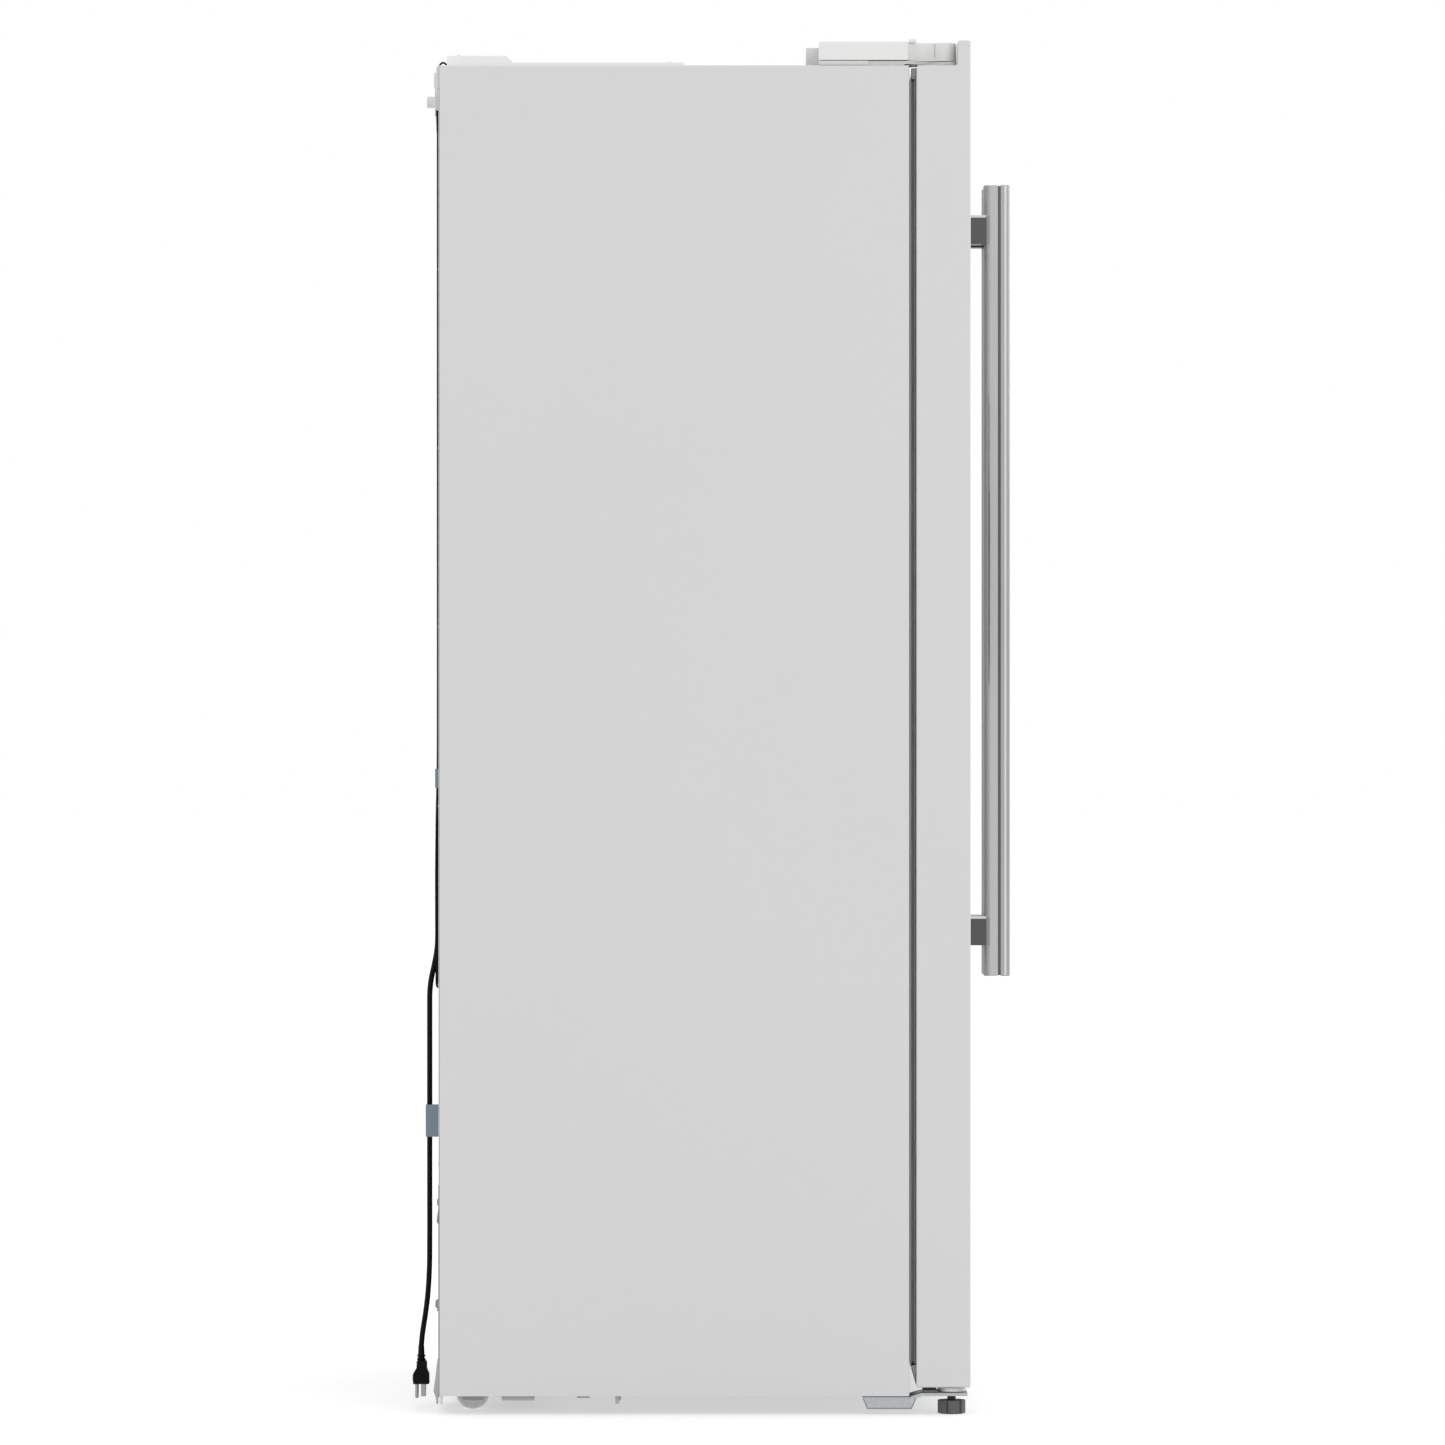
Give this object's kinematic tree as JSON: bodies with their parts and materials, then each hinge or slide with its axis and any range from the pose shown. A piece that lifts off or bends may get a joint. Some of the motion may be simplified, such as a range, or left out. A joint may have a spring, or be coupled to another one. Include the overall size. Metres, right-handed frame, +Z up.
{
  "type": "french door refrigerator",
  "caption": "Tall refrigerator with paired full-height French doors, vertical bar handles, ice and water dispenser, inner shelves, drawers and door bins, on feet and rollers.",
  "frame": {"origin": "on the floor, at the middle of the footprint over the door handles and the rear fittings", "axes": "+Z up, the doors face -Y, and the left (freezer) door seen from the front is at -X"},
  "size_m": [0.838, 0.7873, 1.77],
  "materials": {
    "white_paint": "satin",
    "zinc_steel": "satin",
    "foam": "matte",
    "liner_plastic": "gloss",
    "white_plastic": "satin",
    "shelf_glass": "gloss",
    "clear_plastic": "gloss",
    "gasket_rubber": "matte",
    "black_plastic": "satin",
    "grey_plastic": "matte",
    "clip_plastic": "satin",
    "handle_steel": "polished",
    "post_steel": "satin",
    "black_paint": "satin",
    "coil_steel": "satin",
    "aluminium_fins": "satin",
    "cord_rubber": "satin"
  },
  "bodies": {
    "cabinet": {"cabinet_wrapper": "white_paint", "back_panel": "zinc_steel", "cabinet_insulation": "foam", "freezer_liner": "liner_plastic", "fridge_liner": "liner_plastic", "fridge_shelf_upper": "shelf_glass", "fridge_shelf_lower": "shelf_glass", "crisper_cover": "shelf_glass", "freezer_shelf_upper": "shelf_glass", "freezer_shelf_lower": "shelf_glass", "freezer_back_cover": "white_plastic", "evaporator": "aluminium_fins", "ice_maker": "white_plastic", "fridge_air_duct": "white_plastic", "base_frame": "zinc_steel", "drain_pan": "grey_plastic", "compressor": "black_paint", "condenser_coil": "coil_steel", "condenser_fan_shroud": "grey_plastic", "machine_cover": "zinc_steel", "hinge_bracket_top_left": "zinc_steel", "hinge_bracket_bottom_left": "zinc_steel", "hinge_cover_left": "white_plastic", "hinge_bracket_top_right": "zinc_steel", "hinge_bracket_bottom_right": "zinc_steel", "hinge_cover_right": "white_plastic", "control_box_cover": "white_plastic", "water_inlet": "white_plastic", "power_cord": "cord_rubber", "power_plug": "cord_rubber", "cord_clip_upper": "clip_plastic", "cord_clip_lower": "clip_plastic"},
    "left_door": {"left_door_panel": "white_paint", "left_door_liner": "liner_plastic", "left_door_gasket": "gasket_rubber", "left_handle_bar": "handle_steel", "left_handle_post_upper": "post_steel", "left_handle_post_lower": "post_steel", "left_door_bin_lower": "clear_plastic", "left_door_bin_upper": "clear_plastic", "dispenser_housing": "black_plastic"},
    "right_door": {"right_door_panel": "white_paint", "right_door_liner": "liner_plastic", "right_door_gasket": "gasket_rubber", "right_handle_bar": "handle_steel", "right_handle_post_upper": "post_steel", "right_handle_post_lower": "post_steel", "right_door_bin_lower": "clear_plastic", "right_door_bin_upper": "clear_plastic"},
    "upper_freezer_drawer": {"freezer_drawer_upper": "clear_plastic"},
    "lower_freezer_drawer": {"freezer_drawer_lower": "clear_plastic"},
    "crisper": {"crisper_drawer": "clear_plastic"},
    "paddle": {"dispenser_paddle": "grey_plastic"},
    "drip_tray": {"dispenser_drip_tray": "grey_plastic"},
    "left_roller": {"rear_roller_left": "grey_plastic"},
    "right_roller": {"rear_roller_right": "grey_plastic"},
    "left_foot": {"leveling_foot_left": "grey_plastic"},
    "right_foot": {"leveling_foot_right": "grey_plastic"},
    "condenser_fan_rotor": {"condenser_fan": "black_plastic"},
    "evaporator_fan_rotor": {"evaporator_fan": "white_plastic"}
  },
  "joints": [
    {"name": "left_door_hinge", "type": "hinge", "parent": "cabinet", "child": "left_door", "pos_m": [-0.394, -0.297, 0.9], "axis": [0, 0, -1], "range_deg": [0, 110]},
    {"name": "right_door_hinge", "type": "hinge", "parent": "cabinet", "child": "right_door", "pos_m": [0.394, -0.297, 0.9], "axis": [0, 0, 1], "range_deg": [0, 110]},
    {"name": "upper_freezer_drawer_slide", "type": "slide", "parent": "cabinet", "child": "upper_freezer_drawer", "axis": [0, -1, 0], "range_m": [0, 0.08]},
    {"name": "lower_freezer_drawer_slide", "type": "slide", "parent": "cabinet", "child": "lower_freezer_drawer", "axis": [0, -1, 0], "range_m": [0, 0.08]},
    {"name": "crisper_drawer_slide", "type": "slide", "parent": "cabinet", "child": "crisper", "axis": [0, -1, 0], "range_m": [0, 0.08]},
    {"name": "dispenser_paddle_hinge", "type": "hinge", "parent": "left_door", "child": "paddle", "pos_m": [-0.211, -0.271, 1.16], "axis": [1, 0, 0], "range_deg": [0, 12], "stiffness_Nm_per_rad": 0.5},
    {"name": "drip_tray_slide", "type": "slide", "parent": "left_door", "child": "drip_tray", "axis": [0, -1, 0], "range_m": [0, 0.06]},
    {"name": "left_roller_spin", "type": "hinge", "parent": "cabinet", "child": "left_roller", "pos_m": [-0.325, 0.323, 0.0215], "axis": [1, 0, 0], "continuous": true},
    {"name": "right_roller_spin", "type": "hinge", "parent": "cabinet", "child": "right_roller", "pos_m": [0.325, 0.323, 0.0215], "axis": [1, 0, 0], "continuous": true},
    {"name": "left_foot_turn", "type": "hinge", "parent": "cabinet", "child": "left_foot", "pos_m": [-0.394, -0.297, 0.01], "axis": [0, 0, 1], "continuous": true},
    {"name": "right_foot_turn", "type": "hinge", "parent": "cabinet", "child": "right_foot", "pos_m": [0.394, -0.297, 0.01], "axis": [0, 0, 1], "continuous": true},
    {"name": "condenser_fan_spin", "type": "hinge", "parent": "cabinet", "child": "condenser_fan_rotor", "pos_m": [0.004, 0.255, 0.16], "axis": [1, 0, 0], "continuous": true},
    {"name": "evaporator_fan_spin", "type": "hinge", "parent": "cabinet", "child": "evaporator_fan_rotor", "pos_m": [-0.1945, 0.262, 1.04], "axis": [0, 1, 0], "continuous": true}
  ]
}
